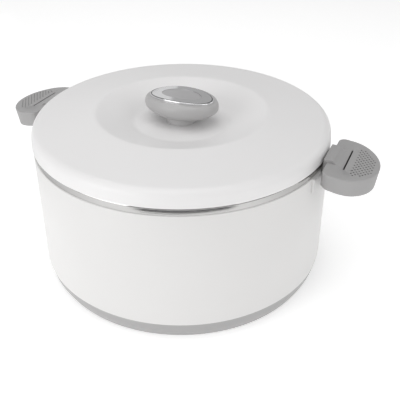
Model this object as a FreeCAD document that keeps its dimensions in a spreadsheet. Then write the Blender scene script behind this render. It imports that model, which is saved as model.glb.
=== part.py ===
"""Insulated casserole with a lift-off lid and two folding side handles.

The casserole stands on its foot ring on the XY plane, +Z up, with the handles on +X and -X.
All sizes are in millimetres and live in the spreadsheet "sizes".
"""
import FreeCAD, Part
import math
import os

import Sketcher

V = FreeCAD.Vector

# ---------------------------------------------------------------- driving dimensions
SIZES = {
    # casing: the white outer wall
    "casing_height": 155.0,        # table to the casing's top shoulder
    "casing_radius": 164.3,        # at the top shoulder
    "casing_flare": 2.3,           # how much wider the casing is at the foot ring
    "casing_wall": 2.8,
    "spigot_depth": 7.0,           # plug of the casing into the base
    "spigot_wall": 2.0,
    "seat_angle": 25.0,            # degrees round the casing, raised seat behind each bracket
    "seat_height": 16.5,
    "seat_proud": 2.7,
    "seat_edge_round": 1.2,
    # base: the grey foot ring and bottom panel
    "ring_height": 21.8,
    "ring_taper": 7.8,             # how much the ring draws in at the table
    "ring_belly": 1.5,
    "base_wall": 2.6,
    "base_recess": 5.0,
    "foot_land": 3.6,
    "fill_hole_radius": 11.0,
    "plug_head_overlap": 2.5,
    "plug_head_height": 1.5,
    # inner bowl: drawn steel with a rolled rim
    "insulation": 17.8,            # between the casing's outer face and the bowl's inner face
    "bowl_draft": 2.0,
    "bowl_floor": 26.0,
    "bowl_corner": 22.0,
    "steel": 0.8,
    "band_height": 8.2,            # steel band seen between casing and lid
    "band_inset": 1.1,
    "rim_hidden": 0.8,             # how far the rim stands up inside the lid
    "rim_curl": 4.0,
    "rim_lip": 3.0,
    "neck_wall": 2.2,
    # lid
    "lid_overhang": 0.7,           # lid's edge outside the casing's top edge
    "lid_wall": 2.8,
    "skirt_draft": 1.6,
    "shoulder_rise": 16.8,
    "shoulder_round": 9.5,
    "crown_rise": 24.2,
    "dish_radius": 95.0,
    "dish_depth": 13.8,
    "dish_floor_radius": 53.8,
    "dish_edge_round": 12.0,
    "dish_floor_round": 16.0,
    "liner_wall": 2.2,
    "liner_depth": 12.0,
    "liner_round": 5.0,
    "liner_clearance": 1.5,
    # knob
    "collar_radius": 17.0,
    "collar_draft": 0.8,
    "knob_half_length": 42.5,
    "knob_half_width": 30.0,
    "knob_centre": 18.4,           # height of the widest section over the dish floor
    "knob_drop": 13.75,
    "knob_rise": 13.65,
    "plate_end_ledge": 5.6,        # from the knob's widest outline in to the plate's edge
    "plate_side_ledge": 8.6,
    "plate_droop": 2.7,            # how far the plate's ends hang below its middle
    "plate_thickness": 2.4,
    "plate_edge_round": 1.3,
    "plate_end_band": 13.9,        # from the plate's edge in to the inset
    "plate_side_band": 8.7,
    "inset_recess": 0.4,
    "knob_screw_radius": 2.5,
    "knob_screw_head_radius": 4.6,
    "knob_screw_head": 3.0,
    "knob_screw_reach": 9.0,       # length inside the knob body
    "washer_radius": 9.0,
    "washer_thickness": 1.2,
    # handle and its bracket, measured from the hinge axis
    "hinge_reach": 12.7,           # hinge axis outside the casing's top edge
    "hinge_drop": 3.0,             # hinge axis below the casing's top edge
    "pin_radius": 2.0,
    "pin_depth": 12.0,             # length of a hinge pin inside the bracket
    "pin_overhang": 1.2,
    "knuckle_radius": 5.7,
    "tongue_half_width": 17.6,
    "tongue_height": 18.4,
    "tongue_flat": 8.9,
    "tongue_run": 12.9,            # from the tongue's back to where its slope meets the plate
    "tongue_depth": 12.9,
    "tongue_crest_round": 3.2,
    "tongue_valley_round": 6.0,
    "tongue_edge_round": 0.9,
    "tongue_lid_gap": 1.0,
    "bracket_drop": 13.0,
    "bracket_toe": 3.6,
    "horn_height": 8.8,            # top of the bracket's stop
    "stop_x": 2.1,                 # front face of the bracket's stop
    "cheek_gap": 0.3,
    "cheek_wall": 2.4,
    "cheek_reach": 7.9,
    "web_wall": 2.4,
    "web_height": 6.2,
    "sweep_gap": 0.5,
    "handle_back": 7.6,
    "handle_corner": 8.5,
    "handle_shoulder": 6.8,
    "handle_tip": 43.0,
    "handle_half_width": 42.6,
    "handle_side_radius": 30.0,
    "handle_top": 14.3,
    "handle_bottom": 3.86,
    "handle_draft": 3.2,
    "handle_wall": 2.4,
    "handle_plate": 3.0,
    "handle_edge_round": 1.2,
    "slot_reach": 10.4,
    "slot_half_length": 22.3,
    "slot_width": 1.8,
    "slot_depth": 8.0,
    "slot_wall": 1.6,
    "top_tilt": 6.1,               # degrees
    "bottom_tilt": 9.95,           # degrees
    "bracket_screw_radius": 1.9,
    "bracket_screw_head_radius": 3.6,
    "bracket_screw_head": 2.2,
    "bracket_screw_length": 13.0,
    "bracket_screw_spacing": 22.0,
    "bracket_screw_drop": 12.0,
    # clearances
    "fit_gap": 0.2,                # between pieces that plug into each other
    "running_gap": 0.05,           # radial, between hinge pin and cheek
}

doc = FreeCAD.newDocument("Casserole")
sheet = doc.addObject("Spreadsheet::Sheet", "sizes")
for row, (alias, size) in enumerate(SIZES.items(), start=1):
    sheet.set("A%d" % row, alias)
    sheet.set("B%d" % row, str(size))
    sheet.setAlias("B%d" % row, alias)
doc.recompute()


class Length:
    """A number together with the spreadsheet formula that gives it."""

    def __init__(self, number, formula):
        self.number = float(number)
        self.formula = formula

    @staticmethod
    def of(thing):
        if isinstance(thing, Length):
            return thing
        return Length(thing, "%g" % thing)

    def __add__(self, other):
        other = Length.of(other)
        return Length(self.number + other.number, "(%s + %s)" % (self.formula, other.formula))

    def __sub__(self, other):
        other = Length.of(other)
        return Length(self.number - other.number, "(%s - %s)" % (self.formula, other.formula))

    def __mul__(self, other):
        other = Length.of(other)
        return Length(self.number * other.number, "(%s * %s)" % (self.formula, other.formula))

    def __truediv__(self, other):
        other = Length.of(other)
        return Length(self.number / other.number, "(%s / %s)" % (self.formula, other.formula))

    def __pow__(self, power):
        return Length(self.number ** power, "(%s ^ %g)" % (self.formula, power))

    def __neg__(self):
        return Length(-self.number, "(0 - %s)" % self.formula)

    __radd__ = __add__
    __rmul__ = __mul__

    def __rsub__(self, other):
        return Length.of(other) - self


def size(alias):
    """The named size, as a number and as a reference to its spreadsheet cell."""
    return Length(sheet.get(alias), "sizes." + alias)


ZERO = Length(0.0, "0")


def slope(alias):
    """Tangent of an angle that the sheet holds in degrees."""
    angle = size(alias)
    return Length(math.tan(math.radians(angle.number)), "tan(%s * 1 deg)" % angle.formula)


# ---------------------------------------------------------------- modelling helpers
def new_body(label):
    body = doc.addObject("PartDesign::Body", label)
    body.Label = label
    return body


def origin_feature(body, role):
    return [item for item in body.Origin.OriginFeatures if item.Role == role][0]


def new_sketch(body, name, plane, lift=None, tilt=None):
    """Empty sketch on an origin plane, lifted along its normal and tilted about its own Y axis."""
    sketch = body.newObject("Sketcher::SketchObject", name)
    sketch.AttachmentSupport = (origin_feature(body, plane), [""])
    sketch.MapMode = "FlatFace"
    turn = FreeCAD.Rotation(V(0, 1, 0), tilt.number if tilt else 0)
    sketch.AttachmentOffset = FreeCAD.Placement(V(0, 0, lift.number if lift else 0), turn)
    if lift:
        sketch.setExpression(".AttachmentOffset.Base.z", lift.formula)
    if tilt:
        sketch.setExpression(".AttachmentOffset.Rotation.Angle", tilt.formula)
    return sketch


def bind(sketch, constraint, length):
    index = sketch.addConstraint(constraint)
    sketch.setExpression("Constraints[%d]" % index, length.formula)


def pin_point(sketch, geometry, vertex, x, y):
    """Fixes a vertex at (x, y) of the sketch."""
    for kind, length in (("DistanceX", x), ("DistanceY", y)):
        bind(sketch, Sketcher.Constraint(kind, -1, 1, geometry, vertex, length.number), length)


def outline(sketch, corners):
    """Closed outline through corners (x, y) or (x, y, radius); a radius rounds that corner."""
    spots = [tuple(Length.of(value) for value in corner) for corner in corners]
    points = [V(spot[0].number, spot[1].number, 0) for spot in spots]
    count = len(spots)
    arrive, leave = [], []
    for index, spot in enumerate(spots):
        here = points[index]
        back = (points[index - 1] - here).normalize()
        ahead = (points[(index + 1) % count] - here).normalize()
        trim = 0.0
        if len(spot) == 3:
            half = math.acos(max(-1.0, min(1.0, back.dot(ahead)))) / 2
            trim = spot[2].number / math.tan(half)
        arrive.append(here + back * trim)
        leave.append(here + ahead * trim)
    lines = [sketch.addGeometry(Part.LineSegment(leave[index], arrive[(index + 1) % count]), False)
             for index in range(count)]
    for index, spot in enumerate(spots):
        before, after = lines[index - 1], lines[index]
        if len(spot) == 2:
            sketch.addConstraint(Sketcher.Constraint("Coincident", before, 2, after, 1))
            pin_point(sketch, after, 1, spot[0], spot[1])
            continue
        add_round(sketch, before, after, spot, points[index], arrive[index], leave[index])


def add_round(sketch, before, after, spot, corner, start, end):
    """Arc of radius spot[2] that joins two lines whose full corner is spot[0], spot[1]."""
    radius = spot[2].number
    middle = ((start + end) * 0.5 - corner).normalize()
    reach = math.hypot(radius, start.distanceToPoint(corner))
    centre = corner + middle * reach
    tip = centre - middle * radius
    arc = sketch.addGeometry(Part.Arc(start, tip, end), False)
    ccw = (tip - start).cross(end - tip).z > 0
    first, last = (1, 2) if ccw else (2, 1)
    sketch.addConstraint(Sketcher.Constraint("Tangent", before, 2, arc, first))
    sketch.addConstraint(Sketcher.Constraint("Tangent", after, 1, arc, last))
    bind(sketch, Sketcher.Constraint("Radius", arc, radius), spot[2])
    mark = sketch.addGeometry(Part.Point(corner), True)
    sketch.addConstraint(Sketcher.Constraint("PointOnObject", mark, 1, before))
    sketch.addConstraint(Sketcher.Constraint("PointOnObject", mark, 1, after))
    pin_point(sketch, mark, 1, spot[0], spot[1])


def circle(sketch, x, y, radius):
    ring = sketch.addGeometry(Part.Circle(V(x.number, y.number, 0), V(0, 0, 1), radius.number), False)
    pin_point(sketch, ring, 3, x, y)
    bind(sketch, Sketcher.Constraint("Radius", ring, radius.number), radius)


def ellipse(sketch, half_length, half_width):
    """Ellipse about the origin with its long axis on X."""
    ring = sketch.addGeometry(
        Part.Ellipse(V(half_length.number, 0, 0), V(0, half_width.number, 0), V(0, 0, 0)), False)
    sketch.exposeInternalGeometry(ring)
    sketch.addConstraint(Sketcher.Constraint("Coincident", ring, 3, -1, 1))
    sketch.addConstraint(Sketcher.Constraint("PointOnObject", ring + 1, 1, -1))
    for axis, half in ((ring + 1, half_length), (ring + 2, half_width)):
        bind(sketch, Sketcher.Constraint("Distance", axis, 2 * half.number), 2 * half)


def turned(label, corners):
    """Body of revolution about Z from its (radius, height) outline."""
    body = new_body(label)
    sketch = new_sketch(body, label + "_profile", "XZ_Plane")
    outline(sketch, corners)
    turn = body.newObject("PartDesign::Revolution", label + "_turn")
    turn.Profile = sketch
    turn.ReferenceAxis = (sketch, ["V_Axis"])
    turn.Angle = 360
    doc.recompute()
    return body


def pad(body, sketch, length, both_ways=False):
    feature = body.newObject("PartDesign::Pad", sketch.Name + "_pad")
    feature.Profile = sketch
    feature.SideType = "Symmetric" if both_ways else "One side"
    feature.Length = length.number
    feature.setExpression("Length", length.formula)
    doc.recompute()
    return feature


def pocket(body, sketch, length=None, both_ways=False, backwards=False):
    """Cuts to a length, or through everything when no length is given."""
    before = body.Shape.Volume
    feature = body.newObject("PartDesign::Pocket", sketch.Name + "_cut")
    feature.Profile = sketch
    feature.SideType = "Symmetric" if both_ways else "One side"
    feature.Reversed = backwards
    if length:
        feature.Length = length.number
        feature.setExpression("Length", length.formula)
    else:
        feature.Type = "ThroughAll"
    doc.recompute()
    if body.Shape.Volume >= before - 1e-6:
        raise RuntimeError(feature.Name + " removed nothing")
    return feature


def opposite(body, feature):
    """Repeats a feature half a turn round Z."""
    pattern = body.newObject("PartDesign::PolarPattern", feature.Name + "_pair")
    pattern.Originals = [feature]
    pattern.Axis = (origin_feature(body, "Z_Axis"), [""])
    pattern.Angle = 360
    pattern.Occurrences = 2
    body.Tip = pattern
    doc.recompute()
    return pattern


def loft(body, name, sections, cutting=False):
    kind = "PartDesign::SubtractiveLoft" if cutting else "PartDesign::AdditiveLoft"
    feature = body.newObject(kind, name)
    feature.Profile = sections[0]
    feature.Sections = sections[1:]
    feature.Ruled = False
    doc.recompute()
    return feature


def round_edges(body, name, radius, wanted):
    """Fillets every edge for which wanted(edge) is true."""
    base = body.Tip
    names = ["Edge%d" % number for number, edge in enumerate(base.Shape.Edges, start=1) if wanted(edge)]
    if not names:
        raise RuntimeError(name + " found no edges")
    feature = body.newObject("PartDesign::Fillet", name)
    feature.Base = (base, names)
    feature.Radius = radius.number
    feature.setExpression("Radius", radius.formula)
    doc.recompute()
    return feature


# ---------------------------------------------------------------- levels shared by several pieces
fit = size("fit_gap")
foot_radius = size("casing_radius") + size("casing_flare") - size("ring_taper")
flared_radius = size("casing_radius") + size("casing_flare")
casing_top = size("casing_height")
spigot_outer = (flared_radius - size("ring_taper") * size("spigot_depth") / size("ring_height")
                - size("base_wall") - fit)
spigot_inner = spigot_outer - size("spigot_wall")
spigot_bottom = size("ring_height") - size("spigot_depth")
shelf_top = size("ring_height") + size("casing_wall")
panel_top = size("base_recess") + size("base_wall")

bowl_radius = size("casing_radius") - size("insulation")
lid_radius = size("casing_radius") + size("lid_overhang")
band_outer = size("casing_radius") - size("band_inset")
skirt_bottom = casing_top + size("band_height")
rim_top = skirt_bottom + size("rim_hidden")
neck_outer = band_outer - size("steel") - fit
neck_inner = neck_outer - size("neck_wall")
neck_top = rim_top - size("rim_curl")

shoulder_top = skirt_bottom + size("shoulder_rise")
crown_top = skirt_bottom + size("crown_rise")
dish_floor = crown_top - size("dish_depth")
liner_bottom = rim_top - size("liner_depth")
liner_radius = bowl_radius - size("liner_clearance")

knob_middle = dish_floor + size("knob_centre")

hinge_x = size("casing_radius") + size("hinge_reach")
hinge_z = casing_top - size("hinge_drop")
seat_radius = size("casing_radius") + size("seat_proud")
screw_z = casing_top - size("bracket_screw_drop")
# flat heads bear on the round wall at their outer edges
screw_head_edge = size("bracket_screw_spacing") * 0.5 + size("bracket_screw_head_radius")
casing_inside = size("casing_radius") - size("casing_wall")
screw_head_seat = (casing_inside * casing_inside - screw_head_edge * screw_head_edge) ** 0.5 - fit * 0.25


# ---------------------------------------------------------------- casserole body
def make_outer_casing():
    """White outer wall with a neck for the steel band and a seat for each handle bracket."""
    wall = size("casing_wall")
    body = turned("outer_casing", [
        (flared_radius, size("ring_height")),
        (size("casing_radius"), casing_top, 1.0),
        (neck_outer, casing_top),
        (neck_outer, neck_top),
        (neck_inner, neck_top),
        (neck_inner, casing_top - wall),
        (size("casing_radius") - wall, casing_top - 2 * wall),
        (flared_radius - wall, shelf_top),
        (spigot_inner, shelf_top),
        (spigot_inner, spigot_bottom),
        (spigot_outer, spigot_bottom),
        (spigot_outer, size("ring_height")),
    ])
    # raised seats: a slice of a ring, repeated on the other side
    bottom = casing_top - size("seat_height")
    inside = size("casing_radius") - wall * 0.5
    seat = new_sketch(body, "seat_profile", "XZ_Plane")
    outline(seat, [(inside, bottom), (seat_radius, bottom), (seat_radius, casing_top), (inside, casing_top)])
    turn = body.newObject("PartDesign::Revolution", "seat_turn")
    turn.Profile = seat
    turn.ReferenceAxis = (seat, ["V_Axis"])
    turn.Midplane = True
    turn.Angle = size("seat_angle").number
    turn.setExpression("Angle", size("seat_angle").formula)
    doc.recompute()
    opposite(body, turn)

    def on_seat_face(edge):
        return all(abs(math.hypot(vertex.Point.x, vertex.Point.y) - seat_radius.number) < 0.01
                   and vertex.Point.z < casing_top.number + 0.01 for vertex in edge.Vertexes)

    round_edges(body, "seat_edge", size("seat_edge_round"), on_seat_face)
    holes = new_sketch(body, "bracket_holes", "YZ_Plane")
    bracket_screw_marks(holes, size("bracket_screw_radius") + fit, ZERO)
    pocket(body, holes, both_ways=True)
    return body


def bracket_screw_marks(sketch, radius, datum):
    """Two circles under the hinge, at the height of the bracket screws above the datum."""
    for side in (-1, 1):
        circle(sketch, size("bracket_screw_spacing") * (side * 0.5), screw_z - datum, radius)


def make_base_shell():
    """Grey foot ring and bottom panel in one piece, with a hole for filling the foam."""
    foot = foot_radius
    belly = size("ring_belly")
    return turned("base_shell", [
        (flared_radius, size("ring_height")),
        (spigot_outer + fit, size("ring_height")),
        (spigot_outer + fit, spigot_bottom - fit),
        (spigot_inner, panel_top, 2.0),
        (size("fill_hole_radius"), panel_top),
        (size("fill_hole_radius"), size("base_recess")),
        (foot - size("foot_land") - 1.5, size("base_recess"), 1.5),
        (foot - size("foot_land"), ZERO),
        (foot, ZERO, 1.5),
        (foot + size("ring_taper") * 0.45 + belly, size("ring_height") * 0.45, 30.0),
    ])


def make_fill_plug():
    radius = size("fill_hole_radius")
    under = size("base_recess")
    return turned("fill_plug", [
        (ZERO, under - size("plug_head_height")),
        (radius + size("plug_head_overlap"), under - size("plug_head_height"), 0.6),
        (radius + size("plug_head_overlap"), under),
        (radius - fit, under),
        (radius - fit, panel_top),
        (ZERO, panel_top),
    ])


def make_inner_bowl():
    """Drawn steel bowl; its rim rolls over the casing's neck and comes down as the band."""
    steel = size("steel")
    inner = bowl_radius
    floor = size("bowl_floor")
    base = inner - size("bowl_draft")
    corner = size("bowl_corner")
    curl = size("rim_curl")
    lip = size("rim_lip")
    return turned("inner_bowl", [
        (ZERO, floor),
        (base, floor, corner),
        (inner, rim_top, lip),
        (band_outer, rim_top, curl),
        (band_outer, casing_top),
        (band_outer - steel, casing_top),
        (band_outer - steel, rim_top - steel, curl - steel),
        (inner + steel, rim_top - steel, lip - steel),
        (base + steel, floor - steel, corner + steel),
        (ZERO, floor - steel),
    ])


def make_body_insulation():
    """Foam between the casing and the bowl, recessed round the bracket screws' heads."""
    wall = size("casing_wall")
    outside = size("steel") + fit
    inner = bowl_radius
    base = inner - size("bowl_draft")
    body = turned("body_insulation", [
        (ZERO, panel_top + fit),
        (spigot_inner - fit * 2, panel_top + fit, 2.5),
        (spigot_inner - fit, shelf_top + fit),
        (flared_radius - wall - fit, shelf_top + fit),
        (size("casing_radius") - wall - fit, casing_top - 2 * wall - fit),
        (neck_inner - fit, casing_top - wall - fit),
        (neck_inner - fit, rim_top - outside, 1.0),
        (inner + outside, rim_top - outside, size("rim_lip") - outside),
        (base + outside, size("bowl_floor") - outside, size("bowl_corner") + outside),
        (ZERO, size("bowl_floor") - outside),
    ])
    recess = new_sketch(body, "screw_recess", "YZ_Plane",
                        lift=screw_head_seat - size("bracket_screw_head") - fit * 2)
    bracket_screw_marks(recess, size("bracket_screw_head_radius") + fit * 2, ZERO)
    cut = pocket(body, recess, size("bracket_screw_head") + size("casing_wall"), backwards=True)
    opposite(body, cut)
    return body


# ---------------------------------------------------------------- lid
def lid_section(depth):
    """(radius, height, round) corners of the lid's crown, set in by depth."""
    return [
        (lid_radius - size("skirt_draft") - depth, shoulder_top - depth,
         size("shoulder_round") - depth),
        (size("dish_radius"), crown_top - depth, size("dish_edge_round") - depth),
        (size("dish_floor_radius"), dish_floor - depth, size("dish_floor_round") + depth),
    ]


def skirt_inside(height):
    """Inner radius of the drafted skirt at a height."""
    share = (height - skirt_bottom) / (size("shoulder_rise") - size("lid_wall"))
    return lid_radius - size("lid_wall") - size("skirt_draft") * share


def make_lid_cover():
    wall = size("lid_wall")
    hole = size("knob_screw_radius") + fit
    body = turned("lid_cover",
                  [(lid_radius, skirt_bottom, 0.8)] + lid_section(ZERO)
                  + [(hole, dish_floor), (hole, dish_floor - wall)]
                  + list(reversed(lid_section(wall)))
                  + [(lid_radius - wall, skirt_bottom)])
    return body


def make_lid_liner():
    """Inner lining of the lid: a flange that rests on the steel rim and a shallow plug."""
    wall = size("liner_wall")
    corner = size("liner_round")
    return turned("lid_liner", [
        (ZERO, liner_bottom),
        (liner_radius, liner_bottom, corner),
        (liner_radius, rim_top),
        (skirt_inside(rim_top) - fit, rim_top),
        (skirt_inside(rim_top + wall) - fit, rim_top + wall),
        (liner_radius - wall, rim_top + wall),
        (liner_radius - wall, liner_bottom + wall, corner - wall),
        (ZERO, liner_bottom + wall),
    ])


def make_lid_insulation():
    """Foam between the lid's cover and its liner, with a pocket for the knob screw's head."""
    wall = size("liner_wall")
    under = size("lid_wall") + fit
    pocket_radius = size("washer_radius") + 2 * fit
    pocket_depth = size("washer_thickness") + size("knob_screw_head") + 2 * fit
    plug = liner_radius - wall - fit
    floor = liner_bottom + wall + fit
    flange_top = rim_top + wall + fit
    return turned("lid_insulation", [
        (ZERO, floor),
        (plug, floor, size("liner_round") - wall - fit),
        (plug, flange_top),
        (skirt_inside(flange_top) - fit, flange_top),
    ] + lid_section(under) + [
        (pocket_radius, dish_floor - under),
        (pocket_radius, dish_floor - size("lid_wall") - pocket_depth),
        (ZERO, dish_floor - size("lid_wall") - pocket_depth),
    ])


# ---------------------------------------------------------------- knob
KNOB_BOTTOM = 0.80                # share of knob_drop where the underside is cut flat
KNOB_TOP = 0.75                   # share of knob_rise where the plate sits
KNOB_LEVELS = (-KNOB_BOTTOM, -0.62, -0.34, 0.0, 0.32, 0.54, 0.7, 0.8, 0.87)
LOWER_FULLNESS = 1.8              # exponents of the outline below and above the widest section
UPPER_FULLNESS = 3.1


def swell(half, share, exponent):
    """Half size of a superellipse at a share of its height."""
    return half * ((1 - abs(share) ** exponent) ** (1.0 / exponent))


def knob_height(share):
    """Height of a knob section: share runs from -1 at the bottom to 1 at the top."""
    reach = size("knob_rise") if share > 0 else size("knob_drop")
    return knob_middle + reach * share


knob_seat = knob_height(-KNOB_BOTTOM)
plate_seat = knob_height(KNOB_TOP)


def make_knob_collar():
    """Round neck between the lid and the knob, bored for the screw."""
    hole = size("knob_screw_radius") + fit
    return turned("knob_collar", [
        (hole, dish_floor),
        (size("collar_radius"), dish_floor, 0.6),
        (size("collar_radius") - size("collar_draft"), knob_seat),
        (hole, knob_seat),
    ])


def crown_cut(body, name, height, above):
    """Cuts along an arch over the knob, whose ends droop; height is over the plate's seat."""
    length = size("knob_half_length") - size("plate_end_ledge")
    droop = size("plate_droop")
    radius = length * length / (2 * droop) + droop * 0.5
    sketch = new_sketch(body, name, "XZ_Plane")
    circle(sketch, ZERO, plate_seat - radius, radius + height)
    if above:
        circle(sketch, ZERO, plate_seat - radius, radius + height + size("knob_rise"))
    return pocket(body, sketch, 4 * size("knob_half_width"), both_ways=True)


def make_knob_body():
    """Oval pebble lofted through level sections, with an arched seat for the plate."""
    body = new_body("knob_body")
    sections = []
    for share in KNOB_LEVELS:
        fullness = UPPER_FULLNESS if share > 0 else LOWER_FULLNESS
        sketch = new_sketch(body, "knob_section", "XY_Plane", lift=knob_height(share))
        ellipse(sketch, swell(size("knob_half_length"), share, fullness),
                swell(size("knob_half_width"), share, fullness))
        sections.append(sketch)
    loft(body, "knob_loft", sections)
    crown_cut(body, "plate_arch", ZERO, above=True)
    bore = new_sketch(body, "knob_bore", "XY_Plane", lift=knob_seat)
    circle(bore, ZERO, ZERO, size("knob_screw_radius") + fit)
    pocket(body, bore, size("knob_screw_reach") + 1, backwards=True)
    return body


def arched_oval(label, half_length, half_width, thickness):
    """Oval slab that follows the arched seat on the knob."""
    body = new_body(label)
    plan = new_sketch(body, label + "_plan", "XY_Plane", lift=plate_seat - 2 * size("plate_droop"))
    ellipse(plan, half_length, half_width)
    pad(body, plan, 2 * size("plate_droop") + 2 * thickness)
    crown_cut(body, label + "_top", thickness, above=True)
    crown_cut(body, label + "_bottom", ZERO, above=False)
    return body


def make_knob_plate():
    """Chromed oval plate with a rounded edge and a hole for the inset."""
    half_length = size("knob_half_length") - size("plate_end_ledge")
    half_width = size("knob_half_width") - size("plate_side_ledge")
    body = arched_oval("knob_plate", half_length, half_width, size("plate_thickness"))
    seat = plate_seat.number

    def on_rim(edge):
        return edge.CenterOfMass.z > seat and edge.BoundBox.XLength > half_length.number

    round_edges(body, "plate_edge", size("plate_edge_round"), on_rim)
    hole = new_sketch(body, "plate_hole", "XY_Plane", lift=plate_seat + 2 * size("plate_thickness"))
    ellipse(hole, half_length - size("plate_end_band"), half_width - size("plate_side_band"))
    pocket(body, hole)
    return body


def make_knob_inset():
    """Bare oval insert in the middle of the plate."""
    half_length = size("knob_half_length") - size("plate_end_ledge") - size("plate_end_band")
    half_width = size("knob_half_width") - size("plate_side_ledge") - size("plate_side_band")
    return arched_oval("knob_inset", half_length - fit, half_width - fit,
                       size("plate_thickness") - size("inset_recess"))


def make_knob_screw():
    under = dish_floor - size("lid_wall") - size("washer_thickness")
    head = size("knob_screw_head_radius")
    shank = size("knob_screw_radius")
    return turned("knob_screw", [
        (ZERO, under - size("knob_screw_head")),
        (head, under - size("knob_screw_head"), 0.8),
        (head, under),
        (shank, under),
        (shank, knob_seat + size("knob_screw_reach")),
        (ZERO, knob_seat + size("knob_screw_reach")),
    ])


def make_knob_washer():
    top = dish_floor - size("lid_wall")
    hole = size("knob_screw_radius") + fit
    return turned("knob_washer", [
        (hole, top - size("washer_thickness")),
        (size("washer_radius"), top - size("washer_thickness")),
        (size("washer_radius"), top),
        (hole, top),
    ])


# ---------------------------------------------------------------- handles
SIDES = {"right": 0.0, "left": 180.0}       # half turn about Z


def place_at_hinge(body, side):
    """Moves a body modelled about the hinge axis to its side of the casserole."""
    sign = 1 if side == "right" else -1
    body.Placement = FreeCAD.Placement(V(sign * hinge_x.number, 0, hinge_z.number),
                                       FreeCAD.Rotation(V(0, 0, 1), SIDES[side]))
    body.setExpression(".Placement.Base.x", (hinge_x * sign).formula)
    body.setExpression(".Placement.Base.z", hinge_z.formula)
    doc.recompute()


def plate_level(x):
    """Height of the handle's top surface over the hinge axis at distance x from it."""
    return size("handle_top") - slope("top_tilt") * x


def handle_outline(sketch, inset, draft):
    """D shape: straight back, rounded back corners, straight flanks and a three-arc front."""
    back = -size("handle_back") + inset
    half = size("handle_half_width") - inset - draft
    corner = size("handle_corner") - inset
    start = size("handle_shoulder")
    tip = size("handle_tip") - inset - draft * 0.6
    side = size("handle_side_radius") - inset
    reach = tip - start
    drop = half - side
    front = (reach * reach + drop * drop - side * side) / (2 * (reach - side))
    meet_x = tip - front + front * (front - reach) / (front - side)
    meet_y = front * drop / (front - side)

    def arc(points, radius):
        start_point, middle, end_point = points
        item = sketch.addGeometry(Part.Arc(start_point, middle, end_point), False)
        bind(sketch, Sketcher.Constraint("Radius", item, radius.number), radius)
        return item

    def spot(x, y):
        return V(x.number, y.number, 0)

    ring = []
    turn = 1 / math.sqrt(2)
    for sign in (-1, 1):
        flat = (back + corner, half * sign)
        turned_in = (back, (half - corner) * sign)
        corner_mid = V((back + corner * (1 - turn)).number, (half - corner * (1 - turn)).number * sign, 0)
        side_centre = V(start.number, drop.number * sign, 0)
        meet = V(meet_x.number, meet_y.number * sign, 0)
        away = (V(start.number, half.number * sign, 0) - side_centre).normalize()
        ahead = (meet - side_centre).normalize()
        side_mid = side_centre + (away + ahead).normalize() * side.number
        if sign < 0:
            ring.append((arc((spot(*turned_in), corner_mid, spot(*flat)), corner), turned_in))
            ring.append((sketch.addGeometry(Part.LineSegment(spot(*flat), spot(start, -half)), False), flat))
            ring.append((arc((spot(start, -half), side_mid, meet), side), (start, -half)))
            ring.append((arc((meet, spot(tip, ZERO), V(meet.x, -meet.y, 0)), front), (meet_x, -meet_y)))
        else:
            ring.append((arc((meet, side_mid, spot(start, half)), side), (meet_x, meet_y)))
            ring.append((sketch.addGeometry(Part.LineSegment(spot(start, half), spot(*flat)), False),
                         (start, half)))
            ring.append((arc((spot(*flat), corner_mid, spot(*turned_in)), corner), flat))
            ring.append((sketch.addGeometry(Part.LineSegment(spot(*turned_in), spot(back, -(half - corner))),
                                            False), turned_in))
    for index, (item, where) in enumerate(ring):
        sketch.addConstraint(Sketcher.Constraint("Coincident", ring[index - 1][0], 2, item, 1))
        pin_point(sketch, item, 1, *where)


def make_handle(side):
    """Moulded grip, open below: a D-shaped plate with a raised tongue and a hinge box."""
    body = new_body("handle_" + side)
    wall = size("handle_wall")
    draft = size("handle_draft")
    below = size("handle_bottom")
    add_tongue(body)
    bottom = new_sketch(body, "grip_bottom", "XY_Plane", lift=-below, tilt=size("bottom_tilt"))
    handle_outline(bottom, ZERO, draft)
    rounds = []
    for drop, inset in edge_levels(size("handle_edge_round")):
        level = new_sketch(body, "grip_level", "XY_Plane", lift=size("handle_top") - drop,
                           tilt=size("top_tilt"))
        handle_outline(level, inset, ZERO)
        rounds.append(level)
    loft(body, "grip_loft", [bottom, rounds[0]])
    loft(body, "grip_edge", rounds)

    roof = new_sketch(body, "hollow_roof", "XY_Plane", lift=size("handle_top") - size("handle_plate"),
                      tilt=size("top_tilt"))
    handle_outline(roof, wall, ZERO)
    mouth = new_sketch(body, "hollow_mouth", "XY_Plane", lift=-below - 1, tilt=size("bottom_tilt"))
    handle_outline(mouth, wall, draft)
    loft(body, "hollow_loft", [mouth, roof], cutting=True)
    add_hinge_box(body)
    add_slot(body)
    place_at_hinge(body, side)
    return body


def edge_levels(edge):
    """Pairs (distance from the outermost level, inset) that step round a quarter circle."""
    return [(edge * (1 - math.sin(math.radians(angle))), edge * (1 - math.cos(math.radians(angle))))
            for angle in (0, 30, 60, 90)]


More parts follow.
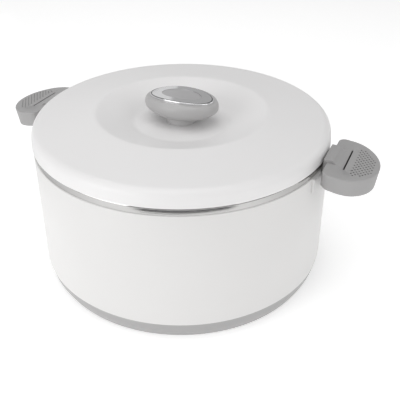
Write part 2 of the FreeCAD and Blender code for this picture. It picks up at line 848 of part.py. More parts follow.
def add_tongue(body):
    """Raised tongue beside the lid, whose front slope runs out in the plate."""
    back = lid_radius + size("tongue_lid_gap") - hinge_x
    top = size("tongue_height")
    half = size("tongue_half_width")
    foot = back + size("tongue_run")
    end = foot + size("tongue_valley_round")
    low = top - size("tongue_depth")
    buried = size("handle_plate") * 0.5
    stop = size("stop_x")
    side = new_sketch(body, "tongue_side", "XZ_Plane")
    outline(side, [
        (back, low),
        (back, top),
        (back + size("tongue_flat"), top, size("tongue_crest_round")),
        (foot, plate_level(foot), size("tongue_valley_round")),
        (end, plate_level(end)),
        (end, plate_level(end) - buried),
        (stop, plate_level(stop) - buried),
        (stop, low),
    ])
    pad(body, side, 2 * half, both_ways=True)

    def on_top(edge):
        ends = [vertex.Point for vertex in edge.Vertexes]
        above = all(point.z > plate_level(end).number - 0.01 for point in ends)
        at_back = all(abs(point.x - back.number) < 0.01 for point in ends)
        lengthwise = abs(ends[0].y - ends[-1].y) < 0.01
        return above and at_back != lengthwise

    round_edges(body, "tongue_edges", size("tongue_edge_round"), on_top)


def add_hinge_box(body):
    """Room for the bracket, two cheeks for the pins and a web that stops on the bracket."""
    gap = size("tongue_half_width") + size("cheek_gap")
    stop = size("stop_x") + size("cheek_gap")
    horn = size("horn_height")
    sweep = (size("stop_x") ** 2 + horn * horn) ** 0.5 + size("sweep_gap")
    behind = size("handle_back") + 6
    room = new_sketch(body, "bracket_room", "XZ_Plane")
    outline(room, [
        (-behind, -size("handle_bottom") - 20), (stop, -size("handle_bottom") - 20), (stop, sweep),
        (-sweep, sweep, sweep), (-sweep, -1), (-behind, -1)])
    pocket(body, room, 2 * gap, both_ways=True)

    buried = size("handle_plate") * 0.5
    back = -size("handle_back") + size("handle_wall") * 0.5
    reach = size("cheek_reach")
    underside = slope("bottom_tilt")
    below = size("handle_bottom")
    for sign, name in ((-1, "cheek_near"), (1, "cheek_far")):
        # the sketch plane's normal is -Y
        start = gap if sign < 0 else -gap - size("cheek_wall")
        cheek = new_sketch(body, name, "XZ_Plane", lift=start)
        outline(cheek, [
            (back, -below - underside * back), (reach, -below - underside * reach),
            (reach, plate_level(reach) - buried), (back, plate_level(back) - buried)])
        pad(body, cheek, size("cheek_wall"))
    web = new_sketch(body, "web_side", "XZ_Plane")
    front = stop + size("web_wall")
    outline(web, [
        (stop, size("web_height")), (front, size("web_height")),
        (front, plate_level(front) - buried), (stop, plate_level(stop) - buried)])
    pad(body, web, 2 * gap + size("cheek_wall"), both_ways=True)
    bore = new_sketch(body, "pin_bore", "XZ_Plane")
    circle(bore, ZERO, ZERO, size("pin_radius") + size("running_gap"))
    pocket(body, bore, 2 * (gap + size("cheek_wall") + 1), both_ways=True)


def add_slot(body):
    """Narrow blind slot across the plate, in a rib of its own."""
    near = size("slot_reach") - size("slot_width") * 0.5
    far = size("slot_reach") + size("slot_width") * 0.5
    half = size("slot_half_length")
    wall = size("slot_wall")
    depth = size("slot_depth") + wall
    buried = size("handle_plate") * 0.5
    rib = new_sketch(body, "slot_rib", "XZ_Plane")
    outline(rib, [
        (near - wall, plate_level(near) - depth), (far + wall, plate_level(far) - depth),
        (far + wall, plate_level(far) - buried), (near - wall, plate_level(near) - buried)])
    pad(body, rib, 2 * (half + wall), both_ways=True)
    slot = new_sketch(body, "plate_slot", "XZ_Plane")
    outline(slot, [
        (near, plate_level(near) - size("slot_depth")), (far, plate_level(far) - size("slot_depth")),
        (far, plate_level(far) + 5), (near, plate_level(near) + 5)])
    pocket(body, slot, 2 * half, both_ways=True)


def make_bracket(side):
    """Fixed hinge bracket: a knuckle round the pins and a horn that stops the handle."""
    body = new_body("handle_bracket_" + side)
    half = size("tongue_half_width")
    inside = -size("hinge_reach")
    knuckle = size("knuckle_radius")
    stop = size("stop_x")
    shoulder = size("hinge_drop") + 0.4
    low = -size("bracket_drop")
    toe = seat_radius + size("bracket_toe") - hinge_x
    horn = size("horn_height")
    sketch = new_sketch(body, "bracket_side", "XZ_Plane")
    outline(sketch, [
        (inside, low),
        (toe, low, 2.0),
        (knuckle, -knuckle * 0.75, 4.5),
        (knuckle, knuckle * 0.62, 3.4),
        (stop, knuckle * 0.86),
        (stop, horn, 0.8),
        (stop - 4.6, horn, 1.2),
        (inside * 0.6, shoulder, 1.6),
        (inside, shoulder),
    ])
    pad(body, sketch, 2 * half, both_ways=True)
    for sign, name in ((-1, "bore_near"), (1, "bore_far")):
        start = half - size("pin_depth") if sign < 0 else -half
        bore = new_sketch(body, name, "XZ_Plane", lift=start)
        circle(bore, ZERO, ZERO, size("pin_radius") + fit * 0.1)
        pocket(body, bore, size("pin_depth"), backwards=True)
    # the back follows the round seat on the casing
    seat = new_sketch(body, "seat_cut", "XY_Plane", lift=low - 1)
    circle(seat, -hinge_x, ZERO, seat_radius)
    pocket(body, seat, size("bracket_drop") + size("hinge_drop") + 1, backwards=True)
    holes = new_sketch(body, "screw_holes", "YZ_Plane", lift=screw_head_seat - hinge_x)
    bracket_screw_marks(holes, size("bracket_screw_radius") + fit * 0.5, hinge_z)
    pocket(body, holes, size("bracket_screw_length") + fit * 2, backwards=True)
    place_at_hinge(body, side)
    return body


def rod(name, radius, length, x, y, z, turn):
    """Round bar that starts at (x, y, z) and runs along the turned Z axis."""
    bar = doc.addObject("Part::Cylinder", name)
    for prop, value in (("Radius", radius), ("Height", length)):
        setattr(bar, prop, value.number)
        bar.setExpression(prop, value.formula)
    bar.Placement = FreeCAD.Placement(V(x.number, y.number, z.number), turn)
    for axis, value in (("x", x), ("y", y), ("z", z)):
        bar.setExpression(".Placement.Base." + axis, value.formula)
    return bar


def gathered(label, items, side):
    """Puts identical fasteners in one node, on one side of the casserole."""
    group = doc.addObject("Part::Compound", label)
    group.Label = label
    group.Links = items
    group.Placement = FreeCAD.Placement(V(0, 0, 0), FreeCAD.Rotation(V(0, 0, 1), SIDES[side]))
    doc.recompute()
    return group


def make_hinge_pins(side):
    """Two short pins, pushed through the cheeks into the bracket from the handle's hollow."""
    half = size("tongue_half_width")
    length = size("pin_depth") + size("cheek_gap") + size("cheek_wall") + size("pin_overhang") - fit
    pins = []
    for sign in (-1, 1):
        start = (half - size("pin_depth") + fit) * sign
        turn = FreeCAD.Rotation(V(1, 0, 0), -90 * sign)
        pins.append(rod("pin_%s" % side, size("pin_radius"), length, hinge_x, start, hinge_z, turn))
    return gathered("hinge_pin_" + side, pins, side)


def make_bracket_screws(side):
    """Two pan-head screws, driven from inside the casing before it is filled."""
    turn = FreeCAD.Rotation(V(0, 1, 0), 90)
    screws = []
    for sign in (-1, 1):
        offset = size("bracket_screw_spacing") * (sign * 0.5)
        head = size("bracket_screw_head")
        pan = rod("screw_head_%s" % side, size("bracket_screw_head_radius"), head,
                  screw_head_seat - head, offset, screw_z, turn)
        shank = rod("screw_shank_%s" % side, size("bracket_screw_radius"), size("bracket_screw_length"),
                    screw_head_seat, offset, screw_z, turn)
        screw = doc.addObject("Part::Fuse", "screw_%s" % side)
        screw.Base = pan
        screw.Tool = shank
        screws.append(screw)
    return gathered("bracket_screws_" + side, screws, side)


# ---------------------------------------------------------------- build and write
pieces = [
    make_outer_casing(),
    make_base_shell(),
    make_fill_plug(),
    make_inner_bowl(),
    make_body_insulation(),
    make_lid_cover(),
    make_lid_liner(),
    make_lid_insulation(),
    make_knob_collar(),
    make_knob_body(),
    make_knob_plate(),
    make_knob_inset(),
    make_knob_screw(),
    make_knob_washer(),
]
for side in SIDES:
    pieces.append(make_handle(side))
    pieces.append(make_bracket(side))
    pieces.append(make_hinge_pins(side))
    pieces.append(make_bracket_screws(side))

doc.recompute()
for item in doc.Objects:
    if {"Invalid", "Error"} & set(item.State):
        raise RuntimeError("%s is %s" % (item.Name, item.State))
for piece in pieces:
    shape = piece.Shape
    if shape.isNull() or not shape.isValid() or not shape.Solids:
        raise RuntimeError(piece.Label + " has no valid solid")

os.makedirs("parts", exist_ok=True)
for piece in pieces:
    piece.Shape.exportStep(os.path.join("parts", piece.Label + ".step"))
    box = piece.Shape.BoundBox
    print("%-22s %8.1f cm3  z %.1f..%.1f" % (piece.Label, piece.Shape.Volume / 1000, box.ZMin, box.ZMax))
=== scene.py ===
import math

import bmesh
import bpy
from mathutils import Matrix, Vector


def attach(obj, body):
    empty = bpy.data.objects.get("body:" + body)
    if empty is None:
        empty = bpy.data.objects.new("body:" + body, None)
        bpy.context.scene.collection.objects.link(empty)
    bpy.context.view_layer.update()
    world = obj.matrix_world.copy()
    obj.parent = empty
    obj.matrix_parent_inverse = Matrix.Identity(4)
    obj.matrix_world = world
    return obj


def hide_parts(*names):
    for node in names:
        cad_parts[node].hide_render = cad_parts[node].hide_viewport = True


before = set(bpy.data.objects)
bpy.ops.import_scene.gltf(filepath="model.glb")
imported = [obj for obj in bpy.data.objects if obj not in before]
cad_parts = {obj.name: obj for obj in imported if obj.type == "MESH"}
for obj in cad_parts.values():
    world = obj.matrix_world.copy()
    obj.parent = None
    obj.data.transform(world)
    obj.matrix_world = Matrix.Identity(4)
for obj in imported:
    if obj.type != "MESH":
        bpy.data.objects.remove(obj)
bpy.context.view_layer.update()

scene = bpy.context.scene

# ------------------------------------------------------------------ sizes that the solids have too
# hinge axis of the right handle, metres; the left handle is its mirror image
HINGE_X = 0.177
HINGE_Z = 0.152
# the grip's sloping face, millimetres from the hinge axis
FACE_TOP = 14.3                   # height above the axis, straight over it
FACE_FALL = math.tan(math.radians(6.1))
SLOT_NEAR = 9.5                   # the blind slot lies this far out
SLOT_FAR = 11.3
SLOT_HALF = 22.3                  # and reaches this far to each side
# half sizes of the knob's oval chromed plate, metres
KNOB_PLATE_LENGTH = 0.0369
KNOB_PLATE_WIDTH = 0.0214

# ------------------------------------------------------------------ dimples in the grips, millimetres
DIMPLE_START = 18.5               # first column, outward from the hinge axis
DIMPLE_COLUMNS = 10
DIMPLE_STEP = 2.2                 # between columns
DIMPLE_PITCH = 5.8                # between dimples of one column
DIMPLE_STAGGER = 0.25             # each column is shifted by this share of the pitch, to and fro
DIMPLE_ROWS = 6                   # to each side of the middle, before the field cuts them off
DIMPLE_RADIUS = 0.98
DIMPLE_DEPTH = 0.8
FIELD_CENTRE = 6.8                # the field is a superellipse: its middle, half sizes and power
FIELD_REACH = 31.4
FIELD_HALF = 31.2
FIELD_POWER = 2.3

# where shade is painted on the grips, in the dimples and down the slot; depths in millimetres below the
# face
DIMPLE_SHADE_START = 0.04
DIMPLE_SHADE_FULL = DIMPLE_DEPTH * 0.45
DIMPLE_SHADE_END = DIMPLE_DEPTH * 1.3
DIMPLE_SHADE_NEAR = DIMPLE_START - 2.0   # no nearer to the hinge axis than this
DIMPLE_SHADE_FIELD = 1.14         # a little over 1, for the far sides of the outer dimples
DIMPLE_SHADE_SLOPE = 0.35         # least upward part of the surface's normal
SLOT_SHADE_START = 0.2
SLOT_SHADE_FULL = 1.4
SLOT_SHADE_MARGIN = 0.05          # to each side of the slot


# ------------------------------------------------------------------ nodes
MIX_A, MIX_B, MIX_RESULT = 6, 7, 2   # sockets of a Mix node that mixes colours


def feed(tree, value, socket):
    """Links a socket, or sets a number or colour."""
    if isinstance(value, bpy.types.NodeSocket):
        tree.links.new(value, socket)
    else:
        socket.default_value = value


def math_node(tree, operation, *values):
    item = tree.nodes.new("ShaderNodeMath")
    item.operation = operation
    for index, value in enumerate(values):
        feed(tree, value, item.inputs[index])
    return item.outputs[0]


class Mat:
    """One Principled material and short calls for the nodes that feed it."""

    def __init__(self, name, color, roughness, **sockets):
        self.mat = bpy.data.materials.new(name)
        self.mat.use_nodes = True
        self.tree = self.mat.node_tree
        self.bsdf = self.tree.nodes["Principled BSDF"]
        self.bsdf.inputs["Base Color"].default_value = (*color, 1)
        self.bsdf.inputs["Roughness"].default_value = roughness
        for key, value in sockets.items():
            self.bsdf.inputs[key.replace("_", " ")].default_value = value
        self.coord = self.tree.nodes.new("ShaderNodeTexCoord").outputs["Object"]

    def node(self, kind, values, **props):
        item = self.tree.nodes.new(kind)
        for key, value in props.items():
            setattr(item, key, value)
        for key, value in values.items():
            feed(self.tree, value, item.inputs[key])
        return item

    def math(self, operation, *values):
        return math_node(self.tree, operation, *values)

    def axes(self, vector):
        """X, Y and Z sockets of a vector."""
        return self.node("ShaderNodeSeparateXYZ", {"Vector": vector}).outputs

    def noise(self, scale, detail=3.0, rough=0.5, vector=None):
        return self.node("ShaderNodeTexNoise", {
            "Vector": vector or self.coord, "Scale": scale,
            "Detail": detail, "Roughness": rough}).outputs["Fac"]

    def spread(self, source, low, high, near=0.3, far=0.7):
        """Maps near..far of a value to low..high; the defaults suit a noise."""
        return self.node("ShaderNodeMapRange", {
            "Value": source, "From Min": near, "From Max": far,
            "To Min": low, "To Max": high}).outputs["Result"]

    def tint(self, factor, low, high):
        """Colour between two others, each a socket or three numbers."""
        mix = self.node("ShaderNodeMix", {"Factor": factor}, data_type="RGBA")
        for index, value in ((MIX_A, low), (MIX_B, high)):
            whole = value if isinstance(value, bpy.types.NodeSocket) else (*value, 1)
            feed(self.tree, whole, mix.inputs[index])
        return mix.outputs[MIX_RESULT]

    def source(self, name):
        """The socket that feeds one of the shader's inputs."""
        return self.bsdf.inputs[name].links[0].from_socket

    def color(self, socket):
        self.tree.links.new(socket, self.bsdf.inputs["Base Color"])

    def roughness(self, socket):
        self.tree.links.new(socket, self.bsdf.inputs["Roughness"])

    def bump(self, height, distance):
        """Adds a bump, over those that are there."""
        item = self.node("ShaderNodeBump", {"Height": height, "Distance": distance, "Strength": 1.0})
        if self.bsdf.inputs["Normal"].is_linked:
            self.tree.links.new(self.source("Normal"), item.inputs["Normal"])
        self.tree.links.new(item.outputs["Normal"], self.bsdf.inputs["Normal"])


def srgb(levels):
    """Linear colour of three levels given as 0-255."""
    return tuple(((v / 255 + 0.055) / 1.055) ** 2.4 if v > 10 else v / 255 / 12.92 for v in levels)


# ------------------------------------------------------------------ plastics
DRIFT_SCALE = 9.0                 # noise of the colour, per metre
GLOSS_SCALE = 38.0                # noise of the roughness
GLOSS_LOW = 0.93                  # its range, in shares of the roughness: 0.32 stays over 0.29, because
GLOSS_HIGH = 1.12                 # sharp blotches show where a plastic's roughness crosses about 0.274
SKIN_SCALE = 2600.0               # the fine moulded skin
SKIN_DEPTH = 0.00002
WAVE_SCALE = 26.0                 # the slow unevenness of a moulded wall
WAVE_DEPTH = SKIN_DEPTH * 2.5


def moulded(name, color, roughness, shade):
    """Injection-moulded plastic: faint colour drift, uneven gloss and a very fine skin."""
    made = Mat(name, color, roughness)
    low = tuple(max(0.0, c * (1 - shade)) for c in color)
    high = tuple(min(1.0, c * (1 + shade)) for c in color)
    made.color(made.tint(made.spread(made.noise(DRIFT_SCALE, 4.0), 0, 1), low, high))
    made.roughness(made.spread(made.noise(GLOSS_SCALE, 5.0, 0.6),
                               roughness * GLOSS_LOW, roughness * GLOSS_HIGH))
    made.bump(made.noise(SKIN_SCALE, 2.0), SKIN_DEPTH)
    made.bump(made.noise(WAVE_SCALE, 2.0), WAVE_DEPTH)
    return made


HANDLE_GREY = srgb((166, 165, 165))
HANDLE_ROUGHNESS = 0.36
HANDLE_SHADE = 0.02
HANDLE_PAINTED_SHADE = srgb((78, 77, 77))  # painted shade in the dimples and down the slot

lid_white = moulded("lid_moulded", srgb((238, 237, 237)), 0.32, 0.008)
# painted shade: the lid's white made darker on the casing, to offset the light the bright floor throws
# on its walls
casing_white_painted_shade = moulded("casing_painted_shade", srgb((227, 226, 225)), 0.32, 0.008)
grey = moulded("grey_moulded", HANDLE_GREY, HANDLE_ROUGHNESS, HANDLE_SHADE)
knob_grey = moulded("knob_moulded", srgb((181, 180, 180)), 0.32, 0.02)
# painted light: the knob's grey made lighter on the collar, to offset the shadow under the knob
collar_grey_painted_light = moulded("collar_painted_light", srgb((194, 193, 193)), 0.32, 0.02)
base_grey = moulded("base_moulded", srgb((168, 167, 167)), 0.38, 0.02)
liner = moulded("liner_moulded", srgb((233, 232, 232)), 0.42, 0.01)
inset = moulded("inset_moulded", srgb((173, 172, 173)), 0.22, 0.02)


def grip_material_painted_shade(name, sign):
    """Grey handle plastic with painted shade: darker in the dimples and down the slot, which lie in
    shade.

    The masks are in millimetres from the hinge axis; sign is 1 for the right grip, -1 for the left.
    """
    made = moulded(name, HANDLE_GREY, HANDLE_ROUGHNESS, HANDLE_SHADE)
    place = made.axes(made.coord)
    outward = made.math("MULTIPLY", place["X"], sign)
    along = made.math("MULTIPLY", made.math("SUBTRACT", outward, HINGE_X), 1000.0)
    height = made.math("MULTIPLY", made.math("SUBTRACT", place["Z"], HINGE_Z), 1000.0)
    across = made.math("MULTIPLY", made.math("ABSOLUTE", place["Y"]), 1000.0)
    face = made.math("SUBTRACT", FACE_TOP, made.math("MULTIPLY", along, FACE_FALL))
    depth = made.math("SUBTRACT", face, height)

    sunk = made.spread(depth, 0.0, 1.0, DIMPLE_SHADE_START, DIMPLE_SHADE_FULL)
    near_face = made.math("LESS_THAN", depth, DIMPLE_SHADE_END)
    past_slot = made.math("GREATER_THAN", along, DIMPLE_SHADE_NEAR)
    facing = made.axes(made.tree.nodes.new("ShaderNodeNewGeometry").outputs["Normal"])
    upward = made.math("GREATER_THAN", facing["Z"], DIMPLE_SHADE_SLOPE)
    off_centre = made.math("ABSOLUTE", made.math("SUBTRACT", along, FIELD_CENTRE))
    field = made.math(
        "ADD",
        made.math("POWER", made.math("DIVIDE", off_centre, FIELD_REACH), FIELD_POWER),
        made.math("POWER", made.math("DIVIDE", across, FIELD_HALF), FIELD_POWER))
    in_field = made.math("LESS_THAN", field, DIMPLE_SHADE_FIELD)
    # painted shade in the dimples, darker where the face is sunk
    dimple = sunk
    for mask in (near_face, past_slot, upward, in_field):
        dimple = made.math("MULTIPLY", dimple, mask)

    # painted shade down the blind slot, darker with depth
    off_slot = made.math("ABSOLUTE", made.math("SUBTRACT", along, (SLOT_NEAR + SLOT_FAR) / 2))
    in_width = made.math("LESS_THAN", off_slot, (SLOT_FAR - SLOT_NEAR) / 2 + SLOT_SHADE_MARGIN)
    in_length = made.math("LESS_THAN", across, SLOT_HALF + SLOT_SHADE_MARGIN)
    below = made.spread(depth, 0.0, 1.0, SLOT_SHADE_START, SLOT_SHADE_FULL)
    slot = made.math("MULTIPLY", made.math("MULTIPLY", in_width, in_length), below)

    made.color(made.tint(made.math("MAXIMUM", dimple, slot), made.source("Base Color"), HANDLE_PAINTED_SHADE))
    return made


right_grip = grip_material_painted_shade("right_grip_painted_shade", 1)
left_grip = grip_material_painted_shade("left_grip_painted_shade", -1)


# ------------------------------------------------------------------ metals and foam
RING_SCALE = 1800.0               # fine rings per metre, along the radius and up the wall
TURNED_DEPTH = 0.000012
SHEET_DEPTH = 0.000004


def brushed(name, color, roughness, ring_depth):
    """Metal with fine rings about the upright axis."""
    made = Mat(name, color, roughness, Metallic=1.0)
    place = made.axes(made.coord)
    radius = made.math("SQRT", made.math("ADD", made.math("POWER", place["X"], 2.0),
                                         made.math("POWER", place["Y"], 2.0)))
    angle = made.math("ARCTAN2", place["Y"], place["X"])
    lines = made.node("ShaderNodeCombineXYZ", {
        "X": made.math("MULTIPLY", radius, RING_SCALE),
        "Y": made.math("MULTIPLY", place["Z"], RING_SCALE),
        "Z": made.math("MULTIPLY", angle, 3.0)})
    rings = made.noise(1.0, 2.0, 0.5, lines.outputs["Vector"])
    made.roughness(made.spread(rings, roughness * 0.8, roughness * 1.3))
    made.bump(rings, ring_depth)
    return made


STEEL = srgb((196, 195, 194))
SATIN_STEEL = srgb((214, 213, 212))
CHROME = srgb((235, 235, 236))

steel = brushed("polished_steel", STEEL, 0.045, SHEET_DEPTH)
chrome = brushed("chromed_plate", CHROME, 0.08, SHEET_DEPTH)
hardware = brushed("hardware_steel", srgb((186, 188, 191)), 0.32, TURNED_DEPTH)

# the bowl is polished like a mirror at its rolled rim and a little below, and satin further down
POLISH_FOOT = 0.1525              # height where the polish is full, metres
POLISH_FADE = 0.002               # and the stretch below in which it fades
SATIN_ROUGHNESS = 0.26            # more than the polish has
level = steel.axes(steel.coord)["Z"]
satin = steel.spread(level, 1.0, 0.0, POLISH_FOOT - POLISH_FADE, POLISH_FOOT)
steel.roughness(steel.math("MULTIPLY_ADD", satin, SATIN_ROUGHNESS, steel.source("Roughness")))
steel.color(steel.tint(satin, STEEL, SATIN_STEEL))

# a fine dark line of painted shade runs round the chromed plate, where its face turns into the rounded
# edge
SEAM_PLACE = 0.962                # in shares of the plate's half sizes, as the next two are
SEAM_CORE = 0.010
SEAM_EDGE = 0.022
SEAM_SHADE = 0.85
place = chrome.axes(chrome.coord)
oval = chrome.math("SQRT", chrome.math(
    "ADD",
    chrome.math("POWER", chrome.math("DIVIDE", place["X"], KNOB_PLATE_LENGTH), 2.0),
    chrome.math("POWER", chrome.math("DIVIDE", place["Y"], KNOB_PLATE_WIDTH), 2.0)))
off_seam = chrome.math("ABSOLUTE", chrome.math("SUBTRACT", oval, SEAM_PLACE))
seam_painted_shade = chrome.spread(off_seam, SEAM_SHADE, 0.0, SEAM_CORE, SEAM_EDGE)
chrome.color(chrome.tint(seam_painted_shade, CHROME, srgb((80, 80, 82))))

foam = Mat("rigid_foam", srgb((240, 226, 170)), 0.92)
cells = foam.node("ShaderNodeTexVoronoi", {"Vector": foam.coord, "Scale": 900.0}).outputs["Distance"]
foam.color(foam.tint(cells, srgb((214, 196, 136)), srgb((244, 232, 184))))
foam.bump(cells, 0.0006)

FINISH = {
    "outer_casing": casing_white_painted_shade,
    "base_shell": base_grey,
    "fill_plug": base_grey,
    "inner_bowl": steel,
    "body_insulation": foam,
    "lid_cover": lid_white,
    "lid_liner": liner,
    "lid_insulation": foam,
    "knob_collar": collar_grey_painted_light,
    "knob_body": knob_grey,
    "knob_plate": chrome,
    "knob_inset": inset,
    "knob_screw": hardware,
    "knob_washer": hardware,
    "handle_right": right_grip,
    "handle_left": left_grip,
    "handle_bracket_right": grey,
    "handle_bracket_left": grey,
    "hinge_pin_right": hardware,
    "hinge_pin_left": hardware,
    "bracket_screws_right": hardware,
    "bracket_screws_left": hardware,
}
for node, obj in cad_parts.items():
    for slot in obj.material_slots:
        slot.material = FINISH[node].mat


# ------------------------------------------------------------------ dimpled grips
def dimple_spots():
    """Plan positions of the dimples: staggered columns inside a field that follows the plate."""
    for column in range(DIMPLE_COLUMNS):
        x = DIMPLE_START + DIMPLE_STEP * column
        shift = DIMPLE_PITCH * (DIMPLE_STAGGER if column % 2 else -DIMPLE_STAGGER)
        for step in range(-DIMPLE_ROWS, DIMPLE_ROWS + 1):
            y = shift + DIMPLE_PITCH * step
            field = ((abs(x - FIELD_CENTRE) / FIELD_REACH) ** FIELD_POWER
                     + (abs(y) / FIELD_HALF) ** FIELD_POWER)
            if field < 1:
                yield x, y


def dimpled_grip(node, name, body, sign, material):
    """Grip with its dimples cut in the plate, in place of the plain solid."""
    shell = bmesh.new()
    shell.from_mesh(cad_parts[node].data)
    bmesh.ops.remove_doubles(shell, verts=shell.verts, dist=1e-6)
    mesh = bpy.data.meshes.new(name)
    shell.to_mesh(mesh)
    shell.free()
    piece = bpy.data.objects.new(name, mesh)
    scene.collection.objects.link(piece)

    # balls of the radius that cuts a dimple of the named radius and depth
    ball = (DIMPLE_RADIUS ** 2 + DIMPLE_DEPTH ** 2) / (2 * DIMPLE_DEPTH)
    balls = bmesh.new()
    for x, y in dimple_spots():
        top = FACE_TOP - FACE_FALL * x + ball - DIMPLE_DEPTH
        spot = Vector((sign * (HINGE_X + x / 1000), sign * y / 1000, HINGE_Z + top / 1000))
        bmesh.ops.create_uvsphere(balls, u_segments=14, v_segments=10, radius=ball / 1000,
                                  matrix=Matrix.Translation(spot))
    cutter_mesh = bpy.data.meshes.new(name + "_balls")
    balls.to_mesh(cutter_mesh)
    balls.free()
    cutter = bpy.data.objects.new(name + "_balls", cutter_mesh)
    scene.collection.objects.link(cutter)

    cut = piece.modifiers.new("dimples", "BOOLEAN")
    cut.operation = "DIFFERENCE"
    cut.solver = "EXACT"
    cut.object = cutter
    bpy.context.view_layer.update()
    cut_piece = piece.evaluated_get(bpy.context.evaluated_depsgraph_get())
    carved = bpy.data.meshes.new_from_object(cut_piece)
    piece.modifiers.clear()
    piece.data = carved
    bpy.data.objects.remove(cutter)
    carved.materials.clear()
    carved.materials.append(material.mat)
    carved.shade_smooth()
    carved.set_sharp_from_angle(angle=math.radians(28))
    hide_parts(node)
    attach(piece, body)


dimpled_grip("handle_right", "grip_right_dimpled", "grip_right", 1, right_grip)
dimpled_grip("handle_left", "grip_left_dimpled", "grip_left", -1, left_grip)

# ------------------------------------------------------------------ studio: surround and floor
SURROUND_STRENGTH = 0.50
SURROUND_DIM = -0.37              # overhead, where the softboxes are
PAPER = (0.90, 0.90, 0.90)
PAPER_ROUGHNESS = 0.9
PAPER_GLOW = 0.39                 # lifts the floor to the photo's plain white
FLOOR_HALF = 6.0

scene.view_settings.view_transform = "Standard"
scene.view_settings.look = "None"

world = bpy.data.worlds.new("studio")
scene.world = world
world.use_nodes = True
sky = world.node_tree
background = sky.nodes["Background"]
background.inputs["Strength"].default_value = SURROUND_STRENGTH
direction = sky.nodes.new("ShaderNodeTexCoord").outputs["Generated"]
parts = sky.nodes.new("ShaderNodeSeparateXYZ")
sky.links.new(direction, parts.inputs["Vector"])
upper = math_node(sky, "MAXIMUM", parts.outputs["Z"], 0.0)
glow = math_node(sky, "MULTIPLY_ADD", upper, SURROUND_DIM, 1.0)
tone = sky.nodes.new("ShaderNodeCombineColor")
for channel in ("Red", "Green", "Blue"):
    sky.links.new(glow, tone.inputs[channel])
sky.links.new(tone.outputs["Color"], background.inputs["Color"])

floor_mesh = bpy.data.meshes.new("floor")
floor_mesh.from_pydata([(-FLOOR_HALF, -FLOOR_HALF, 0), (FLOOR_HALF, -FLOOR_HALF, 0),
                        (FLOOR_HALF, FLOOR_HALF, 0), (-FLOOR_HALF, FLOOR_HALF, 0)], [],
                       [(0, 1, 2, 3)])
floor = bpy.data.objects.new("floor", floor_mesh)
scene.collection.objects.link(floor)
paper = Mat("paper_floor", PAPER, PAPER_ROUGHNESS,
            Emission_Color=(1, 1, 1, 1), Emission_Strength=PAPER_GLOW)
paper.bump(paper.noise(60.0), 0.0002)
floor_mesh.materials.append(paper.mat)


# ------------------------------------------------------------------ studio: lights
def aim_at(item, target):
    """Turns a light or camera so that it looks at a point."""
    item.rotation_euler = (Vector(target) - item.location).to_track_quat("-Z", "Y").to_euler()


def softbox(name, spot, target, size, power):
    """Rectangular area light; size in metres, power in watts."""
    light = bpy.data.lights.new(name, "AREA")
    light.shape = "RECTANGLE"
    light.size, light.size_y = size
    light.energy = power
    item = bpy.data.objects.new(name, light)
    item.location = spot
    aim_at(item, target)
    scene.collection.objects.link(item)


softbox("key_front_left", (-0.9, -1.6, 0.75), (0, 0, 0.1), (1.2, 0.9), 8.7)
softbox("side_right", (1.40, -0.30, 1.00), (0, 0, 0.15), (0.9, 0.9), 3.2)
softbox("back_left", (-1.31, 1.26, 1.05), (0, 0, 0.2), (1.2, 0.7), 0.73)
softbox("back_right", (1.2, 1.3, 1.05), (0, 0, 0.2), (1.0, 0.7), 1.4)
softbox("overhead", (-0.15, -0.30, 1.7), (0, 0, 0.15), (2.0, 1.8), 13.0)

# ------------------------------------------------------------------ studio: paper that paints reflections in the rim
SHEET_STEPS = 48
SHEET_FAR = 1.15                  # outer radius of both sheets, metres
CARD_HALF = 34.5                  # the card reaches this far to each side, degrees
CARD_FADE = 25.0                  # and fades to white from here
CARD_NEAR = 0.3932                # its near edge, metres, which bends outward at its ends
CARD_BEND = 0.0070
CARD_POWER = 10
SIDE_NEAR = 0.335
SIDE_START = 44.0                 # the side paper is white at its ends, degrees
SIDE_END = 150.0
SIDE_DARK = (102.0, 104.0)        # and dimmest between these
SIDE_SHARE = 0.57                 # to this share of white


def card_edge(turn):
    return CARD_NEAR + CARD_BEND * (abs(turn) / CARD_HALF) ** CARD_POWER


def side_edge(turn):
    return SIDE_NEAR


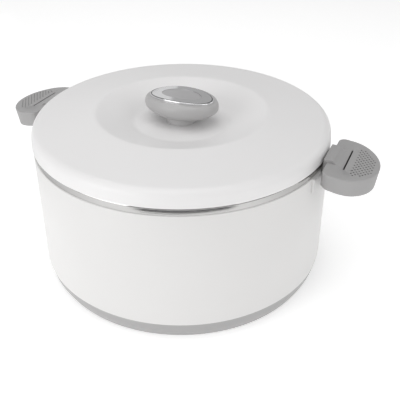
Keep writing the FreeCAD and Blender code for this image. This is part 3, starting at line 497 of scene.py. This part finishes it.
def rim_reflection_paper(name, facing, sectors, near, height, fades, dark):
    """Paper on the table that only glossy rays see: it is there for the polished rim's reflections.

    Sectors are (start, end) turns in degrees about the facing direction, and near gives the inner
    radius at a turn. Each fade is (turn where it is darkest, turn where it is white, share of white
    at the darkest); where two fades meet, the lighter one holds.
    """
    mesh = bpy.data.meshes.new(name)
    spots = []
    faces = []
    for start, end in sectors:
        first = len(spots)
        for step in range(SHEET_STEPS + 1):
            turn = start + (end - start) * step / SHEET_STEPS
            way = math.radians(turn)
            for radius in (near(turn), SHEET_FAR):
                spots.append((radius * math.cos(way), radius * math.sin(way), height))
        for corner in range(first, first + 2 * SHEET_STEPS, 2):
            faces.append((corner, corner + 1, corner + 3, corner + 2))
    mesh.from_pydata(spots, [], faces)
    sheet = bpy.data.objects.new(name, mesh)
    sheet.rotation_euler = (0, 0, math.radians(facing))
    scene.collection.objects.link(sheet)

    made = Mat(name, PAPER, PAPER_ROUGHNESS, Emission_Color=(1, 1, 1, 1))
    place = made.axes(made.coord)
    turned = made.math("ABSOLUTE", made.math("ARCTAN2", place["Y"], place["X"]))
    share = 0.0
    for dark_turn, white_turn, least in fades:
        fade = made.spread(turned, least, 1.0, math.radians(dark_turn), math.radians(white_turn))
        share = made.math("MAXIMUM", share, fade)
    made.color(made.tint(share, dark, PAPER))
    made.tree.links.new(made.math("MULTIPLY", share, PAPER_GLOW), made.bsdf.inputs["Emission Strength"])
    mesh.materials.append(made.mat)
    for ray in ("camera", "diffuse", "shadow", "transmission", "volume_scatter"):
        setattr(sheet, "visible_" + ray, False)


# painted reflection: a grey card in front, seen only by glossy rays, makes the dark crescent in the
# steel band
rim_reflection_paper("rim_reflection_card", -63.0, [(-CARD_HALF, CARD_HALF)], card_edge, 0.0006,
          [(CARD_FADE, CARD_HALF, 0.0)], srgb((116, 116, 117)))
# painted reflection: dimmer paper at the sides darkens the band toward its ends
rim_reflection_paper("side_reflection_paper", -70.0, [(-SIDE_END, -SIDE_START), (SIDE_START, SIDE_END)], side_edge, 0.0004,
          [(SIDE_DARK[0], SIDE_START, SIDE_SHARE), (SIDE_DARK[1], SIDE_END, SIDE_SHARE)], (0, 0, 0))

# ------------------------------------------------------------------ camera, fitted to the photo
camera_data = bpy.data.cameras.new("camera")
camera_data.sensor_fit = "HORIZONTAL"
camera_data.sensor_width = 36.0
camera_data.lens = 54.12
camera_data.clip_end = 50.0
camera = bpy.data.objects.new("camera", camera_data)
camera.location = (0.2686, -0.5505, 0.4640)
aim_at(camera, (0.01813, 0.00883, 0.06617))
scene.collection.objects.link(camera)
scene.camera = camera
